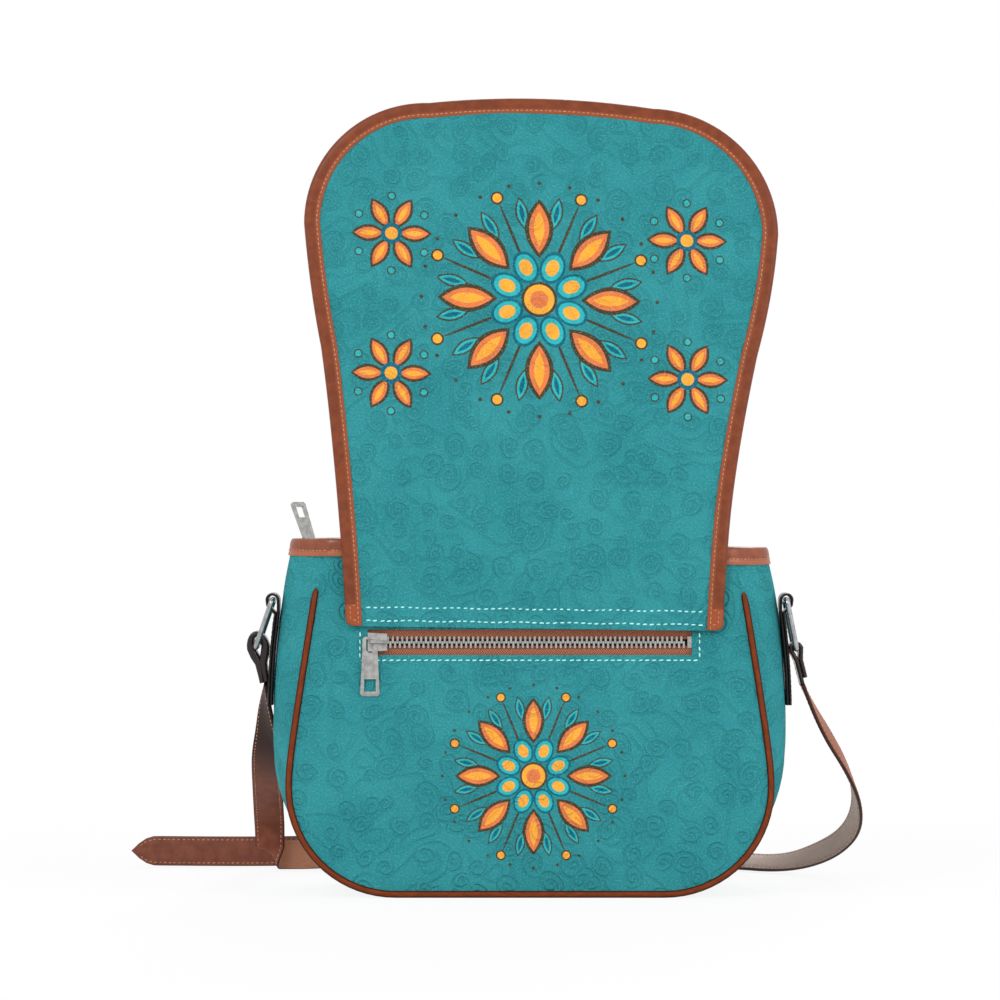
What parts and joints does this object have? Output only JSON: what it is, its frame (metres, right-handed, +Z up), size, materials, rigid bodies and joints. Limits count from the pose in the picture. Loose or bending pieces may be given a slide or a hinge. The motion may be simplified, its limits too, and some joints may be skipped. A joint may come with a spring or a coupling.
{
  "type": "saddle handbag",
  "caption": "Soft-sided saddle handbag with a fold-over flap, zipped mouth, zipped back pocket, piped panels and a buckled leather strap hung from wire rings.",
  "frame": {"origin": "on the floor under the middle of the bag's flat base", "axes": "+Z up; -Y out of the panel with the zipped pocket; +Y out of the panel that the flap closes over; +X to the right as seen from -Y"},
  "size_m": [0.4332, 0.195, 0.4522],
  "materials": {
    "teal_fabric": "felt-like embossed cloth",
    "brown_leather": "satin, stitched",
    "strap_leather": "satin, stitched",
    "dark_leather": "satin, stitched",
    "lining_cloth": "plain weave",
    "zip_tape": "herringbone weave",
    "zip_metal": "worn plated metal",
    "ring_steel": "polished wire",
    "snap_steel": "pressed sheet"
  },
  "bodies": {
    "bag": {"gusset": "teal_fabric", "back_panel": "teal_fabric", "front_panel": "teal_fabric", "flap_base_panel": "teal_fabric", "back_piping": "brown_leather", "front_piping": "brown_leather", "rim_binding_back": "brown_leather", "rim_binding_front": "brown_leather", "rim_binding_left": "brown_leather", "rim_binding_right": "brown_leather", "flap_base_binding": "brown_leather", "left_strap_drop": "strap_leather", "left_strap_run": "strap_leather", "left_strap_buckle_end": "strap_leather", "right_strap_drop": "strap_leather", "right_strap_run": "strap_leather", "strap_keeper": "strap_leather", "left_tab": "dark_leather", "right_tab": "dark_leather", "lining_back": "lining_cloth", "lining_front": "lining_cloth", "lining_gusset": "lining_cloth", "pocket_bag": "lining_cloth", "flap_base_lining": "lining_cloth", "pocket_zip_tape_upper": "zip_tape", "pocket_zip_tape_lower": "zip_tape", "mouth_zip_tape_back": "zip_tape", "mouth_zip_tape_front": "zip_tape", "pocket_zip_chain_upper": "zip_metal", "pocket_zip_chain_lower": "zip_metal", "mouth_zip_chain_back": "zip_metal", "mouth_zip_chain_front": "zip_metal", "buckle_frame": "ring_steel", "buckle_prong": "ring_steel", "snap_socket": "snap_steel", "snap_washer": "snap_steel"},
    "flap_bridge": {"flap_bridge_panel": "teal_fabric", "flap_bridge_lining": "lining_cloth", "flap_bridge_binding": "brown_leather"},
    "flap_front": {"flap_front_panel": "teal_fabric", "flap_front_lining": "lining_cloth", "flap_front_binding": "brown_leather", "snap_stud": "snap_steel"},
    "mouth_slider": {"mouth_zip_slider": "zip_metal"},
    "mouth_puller": {"mouth_zip_puller": "zip_metal"},
    "pocket_slider": {"pocket_zip_slider": "zip_metal"},
    "pocket_puller": {"pocket_zip_puller": "zip_metal"},
    "left_ring": {"left_ring": "ring_steel", "left_strap_end": "strap_leather"},
    "right_ring": {"right_ring": "ring_steel", "right_strap_end": "strap_leather"}
  },
  "joints": [
    {"name": "flap_rear_fold", "type": "hinge", "parent": "bag", "child": "flap_bridge", "pos_m": [0, -0.02525, 0.20199], "axis": [-1, 0, 0], "range_deg": [0, 84]},
    {"name": "flap_front_fold", "type": "hinge", "parent": "flap_bridge", "child": "flap_front", "pos_m": [0, -0.01977, 0.25416], "axis": [-1, 0, 0], "range_deg": [0, 84]},
    {"name": "mouth_zip_slide", "type": "slide", "parent": "bag", "child": "mouth_slider", "axis": [-1, 0, 0], "range_m": [-0.219, 0], "deforming": ["mouth_zip_chain_back", "mouth_zip_chain_front"]},
    {"name": "mouth_zip_puller_flip", "type": "hinge", "parent": "mouth_slider", "child": "mouth_puller", "pos_m": [-0.1235, 0, 0.1935], "axis": [-0.6428, -0.766, 0], "range_deg": [-54, 6]},
    {"name": "pocket_zip_slide", "type": "slide", "parent": "bag", "child": "pocket_slider", "axis": [1, 0, 0], "range_m": [0, 0.169], "deforming": ["pocket_zip_chain_upper", "pocket_zip_chain_lower"]},
    {"name": "pocket_zip_puller_swing", "type": "hinge", "parent": "pocket_slider", "child": "pocket_puller", "pos_m": [-0.09, -0.03131, 0.14285], "axis": [0, -0.9945, 0.1044], "range_deg": [-85, 44]},
    {"name": "left_ring_swing", "type": "hinge", "parent": "bag", "child": "left_ring", "pos_m": [-0.14642, 0, 0.166], "axis": [0, 1, 0], "range_deg": [0, 54], "deforming": ["left_strap_drop"]},
    {"name": "right_ring_swing", "type": "hinge", "parent": "bag", "child": "right_ring", "pos_m": [0.14642, 0, 0.166], "axis": [0, -1, 0], "range_deg": [0, 62], "deforming": ["right_strap_drop"]}
  ],
  "couplings": [
    {"joint": "flap_front_fold", "follows": "flap_rear_fold", "ratio": 1}
  ]
}
